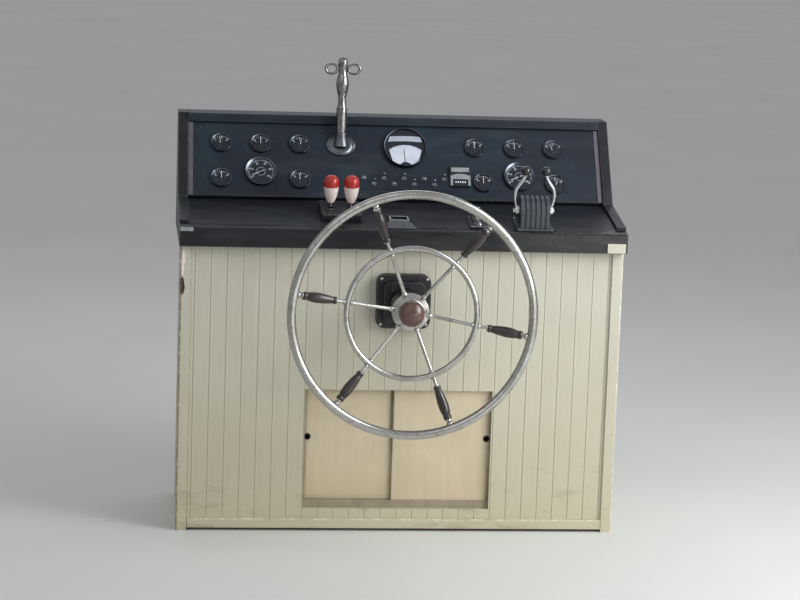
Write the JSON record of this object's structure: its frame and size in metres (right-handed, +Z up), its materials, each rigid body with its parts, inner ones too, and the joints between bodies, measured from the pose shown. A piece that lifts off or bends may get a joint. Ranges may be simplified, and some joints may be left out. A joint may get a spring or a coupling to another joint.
{
  "type": "houseboat helm console with spoked steering wheel",
  "caption": "Standing helm console for a houseboat: beadboard locker with sliding doors, sloped instrument dash, throttle and shift levers, and a spoked wheel.",
  "frame": {"origin": "on the deck under the middle of the console's bounding box", "axes": "+X to starboard, +Y forward to the bulkhead behind the console, away from the helmsman, +Z up"},
  "size_m": [1.12, 0.6455, 1.1793],
  "materials": {
    "cream_paint": "satin off-white paint on beadboard",
    "door_panel": "warm cream paint",
    "plywood": "bare plywood",
    "black_laminate": "satin blue-black laminate on board",
    "black_plastic": "black moulded plastic",
    "gauge_black": "black dial under a bright bezel",
    "chrome": "polished chrome",
    "steel": "polished stainless steel tube",
    "mahogany": "varnished dark wood",
    "red_knob": "red cap on a pale stem",
    "toe_black": "dull black paint"
  },
  "bodies": {
    "console": {"front_panel": "cream_paint", "side_panel_port": "cream_paint", "side_panel_stbd": "cream_paint", "corner_trim_port": "cream_paint", "corner_trim_stbd": "cream_paint", "back_panel": "plywood", "bottom_board": "plywood", "toe_board": "toe_black", "head_track": "plywood", "foot_track": "cream_paint", "cheek_port": "black_laminate", "cheek_stbd": "black_laminate", "desk_top": "black_laminate", "desk_lip": "black_laminate", "ledge": "black_laminate", "instrument_panel": "black_laminate", "switch_bank": "black_plastic", "hour_meter": "gauge_black", "gauge_upper_port_1": "gauge_black", "gauge_upper_port_2": "gauge_black", "gauge_upper_port_3": "gauge_black", "gauge_upper_stbd_1": "gauge_black", "gauge_upper_stbd_2": "gauge_black", "gauge_upper_stbd_3": "gauge_black", "gauge_lower_port_1": "gauge_black", "gauge_lower_port_2": "gauge_black", "gauge_lower_stbd_1": "gauge_black", "gauge_lower_stbd_2": "gauge_black", "tachometer_port": "gauge_black", "tachometer_stbd": "gauge_black", "rudder_indicator": "gauge_black", "handle_bearing": "chrome", "throttle_base": "black_plastic", "shift_pedestal": "black_plastic", "ignition_switches": "chrome", "desk_tray": "chrome", "helm_unit": "black_plastic"},
    "door_port": {"sliding_door_port": "door_panel"},
    "door_stbd": {"sliding_door_stbd": "door_panel"},
    "throttle_port": {"throttle_lever_port": "chrome", "throttle_knob_port": "red_knob"},
    "throttle_stbd": {"throttle_lever_stbd": "chrome", "throttle_knob_stbd": "red_knob"},
    "shift_port": {"shift_lever_port": "chrome", "shift_knob_port": "black_plastic"},
    "shift_stbd": {"shift_lever_stbd": "chrome", "shift_knob_stbd": "black_plastic"},
    "handle": {"searchlight_handle": "chrome"},
    "wheel": {"wheel_spider": "steel", "wheel_rim": "steel", "wheel_inner_ring": "steel", "hub_cap": "mahogany", "wheel_grip_1": "mahogany", "wheel_grip_2": "mahogany", "wheel_grip_3": "mahogany", "wheel_grip_4": "mahogany", "wheel_grip_5": "mahogany", "wheel_grip_6": "mahogany"}
  },
  "joints": [
    {"name": "wheel_turn", "type": "hinge", "parent": "console", "child": "wheel", "pos_m": [0, -0.227, 0.594], "axis": [0, 1, 0], "range_deg": [-630, 630]},
    {"name": "door_port_slide", "type": "slide", "parent": "console", "child": "door_port", "axis": [1, 0, 0], "range_m": [0, 0.225]},
    {"name": "door_stbd_slide", "type": "slide", "parent": "console", "child": "door_stbd", "axis": [1, 0, 0], "range_m": [-0.225, 0]},
    {"name": "searchlight_swivel", "type": "hinge", "parent": "console", "child": "handle", "pos_m": [-0.142, 0.20308, 0.98435], "axis": [0, 0, 1], "range_deg": [-170, 170]},
    {"name": "throttle_port_swing", "type": "hinge", "parent": "console", "child": "throttle_port", "pos_m": [-0.1805, 0.01155, 0.80396], "axis": [1, 0, 0], "range_deg": [-35, 35]},
    {"name": "throttle_stbd_swing", "type": "hinge", "parent": "console", "child": "throttle_stbd", "pos_m": [-0.1295, 0.01155, 0.80396], "axis": [1, 0, 0], "range_deg": [-35, 35]},
    {"name": "shift_port_swing", "type": "hinge", "parent": "console", "child": "shift_port", "pos_m": [0.289, -0.05824, 0.82365], "axis": [1, 0, 0], "range_deg": [-38, 38]},
    {"name": "shift_stbd_swing", "type": "hinge", "parent": "console", "child": "shift_stbd", "pos_m": [0.361, -0.05824, 0.82365], "axis": [1, 0, 0], "range_deg": [-38, 38]}
  ]
}
